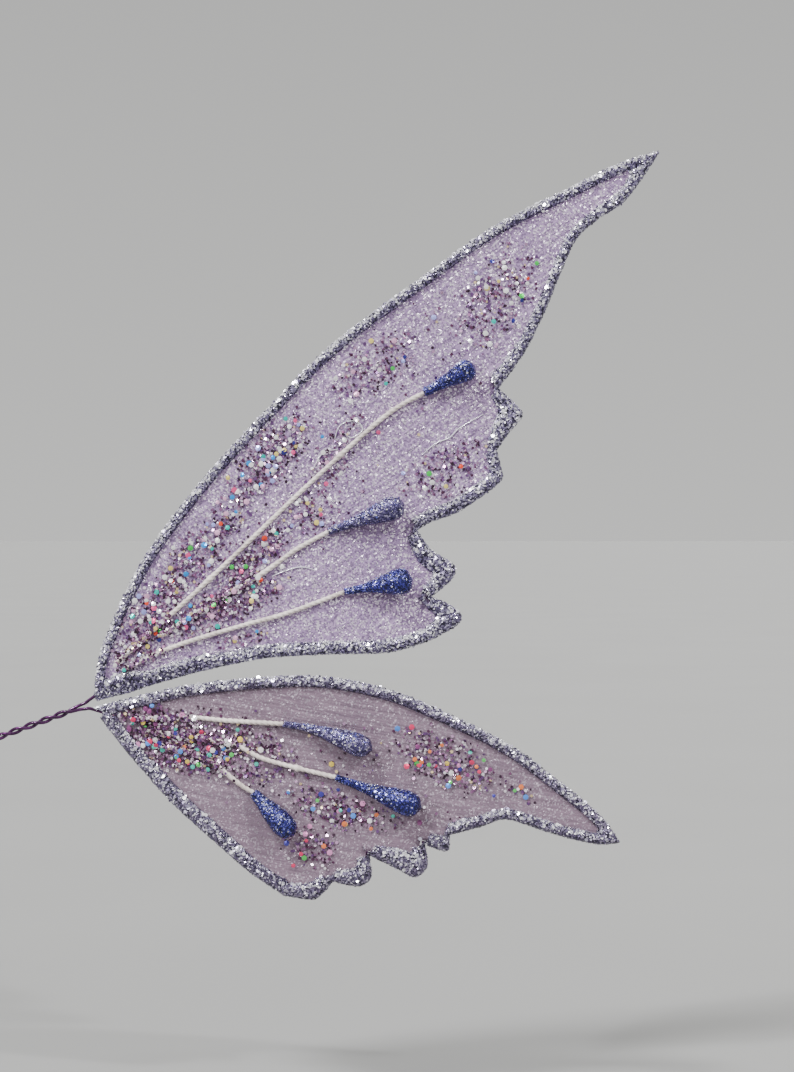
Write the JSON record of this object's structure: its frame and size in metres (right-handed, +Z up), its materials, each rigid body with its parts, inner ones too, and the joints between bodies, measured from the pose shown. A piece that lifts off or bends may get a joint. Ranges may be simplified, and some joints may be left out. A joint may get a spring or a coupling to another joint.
{
  "type": "fairy wings",
  "caption": "Doll-scale fairy wings: a scalloped film forewing and hindwing on wire loops with glitter edges, drop stamens and a twisted wire stem.",
  "frame": {"origin": "the wing root, where the twisted stem meets the two wings, in the middle of the film's thickness", "axes": "+X runs out from the root along the wings, +Z is up, towards the forewing's leading edge, and -Y is the decorated front; both wings lie in the XZ plane"},
  "size_m": [0.1116, 0.005, 0.1122],
  "materials": {
    "purple_wire": "glossy purple colour-coated soft craft wire, 0.5 mm thick",
    "lavender_film": "sheer lavender film backed with fine ribbed fabric, silver specks and loose hexagonal glitter on its front",
    "silver_lilac_glitter": "dried glitter glue, coarse silver and lilac grains in a lumpy bead",
    "cream_thread": "stiff starched off-white stamen thread",
    "blue_glitter_drop": "deep blue drop bead crusted with fine glitter"
  },
  "bodies": {
    "stem": {"stem_upper_strand": "purple_wire", "stem_lower_strand": "purple_wire"},
    "forewing_root": {"forewing_root_wire": "purple_wire"},
    "forewing": {"forewing_frame_wire": "purple_wire", "forewing_film": "lavender_film", "forewing_glitter_bead": "silver_lilac_glitter", "forewing_upper_stamen_thread": "cream_thread", "forewing_upper_stamen_drop": "blue_glitter_drop", "forewing_middle_stamen_thread": "cream_thread", "forewing_middle_stamen_drop": "blue_glitter_drop", "forewing_lower_stamen_thread": "cream_thread", "forewing_lower_stamen_drop": "blue_glitter_drop"},
    "hindwing_root": {"hindwing_root_wire": "purple_wire"},
    "hindwing": {"hindwing_frame_wire": "purple_wire", "hindwing_film": "lavender_film", "hindwing_glitter_bead": "silver_lilac_glitter", "hindwing_upper_stamen_thread": "cream_thread", "hindwing_upper_stamen_drop": "blue_glitter_drop", "hindwing_middle_stamen_thread": "cream_thread", "hindwing_middle_stamen_drop": "blue_glitter_drop", "hindwing_lower_stamen_thread": "cream_thread", "hindwing_lower_stamen_drop": "blue_glitter_drop"}
  },
  "joints": [
    {"name": "forewing_flap", "type": "hinge", "parent": "stem", "child": "forewing_root", "pos_m": [-0.0021, 0, 0], "axis": [0, 0, 1], "range_deg": [-60, 60]},
    {"name": "forewing_spread", "type": "hinge", "parent": "forewing_root", "child": "forewing", "pos_m": [0, 0, 0.0005], "axis": [0, -1, 0], "range_deg": [0, 20]},
    {"name": "hindwing_flap", "type": "hinge", "parent": "stem", "child": "hindwing_root", "pos_m": [-0.0021, 0, 0], "axis": [0, 0, 1], "range_deg": [-60, 60]},
    {"name": "hindwing_spread", "type": "hinge", "parent": "hindwing_root", "child": "hindwing", "pos_m": [0, 0, -0.0007], "axis": [0, 1, 0], "range_deg": [0, 20]}
  ]
}
